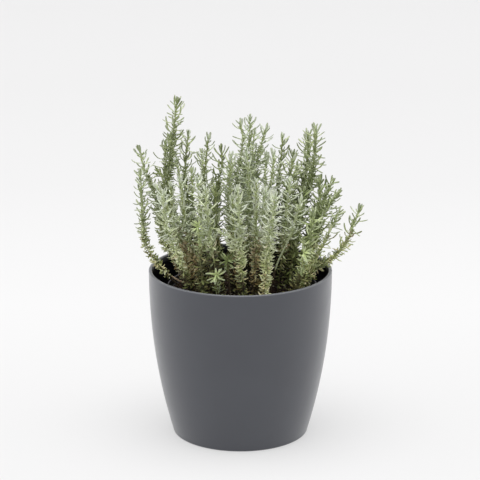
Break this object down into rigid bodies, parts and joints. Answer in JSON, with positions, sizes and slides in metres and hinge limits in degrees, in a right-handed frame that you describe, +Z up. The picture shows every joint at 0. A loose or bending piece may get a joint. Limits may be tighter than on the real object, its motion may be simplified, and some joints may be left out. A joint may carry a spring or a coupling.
{
  "type": "potted curry plant",
  "caption": "Upright herb of many needle-leaved stems in a nursery pot, standing in a round tapered planter.",
  "frame": {"origin": "middle of the planter's underside, on the surface it stands on", "axes": "+Z up the planter's axis; -Y is the pictured front; +X is the viewer's right"},
  "size_m": [0.228, 0.1852, 0.3373],
  "materials": {
    "planter_plastic": "matte moulded plastic, dark blue-grey",
    "nursery_plastic": "thin black moulded plastic",
    "peat": "crumbly dark red-brown peat",
    "dead_wood": "dry tan twig",
    "foliage": "silvery grey-green felted needles on pale green stems"
  },
  "bodies": {
    "root": {"dry_twig": "dead_wood", "nursery_pot": "nursery_plastic", "planter": "planter_plastic", "soil": "peat", "stem_01": "foliage", "stem_02": "foliage", "stem_03": "foliage", "stem_04": "foliage", "stem_05": "foliage", "stem_06": "foliage", "stem_07": "foliage", "stem_08": "foliage", "stem_09": "foliage", "stem_10": "foliage", "stem_11": "foliage", "stem_12": "foliage", "stem_13": "foliage", "stem_14": "foliage", "stem_15": "foliage", "stem_16": "foliage", "stem_17": "foliage", "stem_18": "foliage", "stem_19": "foliage", "stem_20": "foliage", "stem_21": "foliage", "stem_22": "foliage", "stem_23": "foliage", "stem_24": "foliage", "stem_25": "foliage", "stem_26": "foliage", "stem_27": "foliage", "stem_28": "foliage", "stem_29": "foliage", "stem_30": "foliage", "stem_31": "foliage", "stem_32": "foliage", "stem_33": "foliage", "stem_34": "foliage", "stem_35": "foliage", "stem_36": "foliage", "stem_37": "foliage", "stem_38": "foliage", "stem_39": "foliage", "stem_40": "foliage", "stem_41": "foliage", "stem_42": "foliage", "stem_43": "foliage", "stem_44": "foliage", "stem_45": "foliage", "stem_46": "foliage", "stem_47": "foliage", "stem_48": "foliage", "stem_49": "foliage", "stem_50": "foliage", "stem_51": "foliage"}
  },
  "joints": []
}
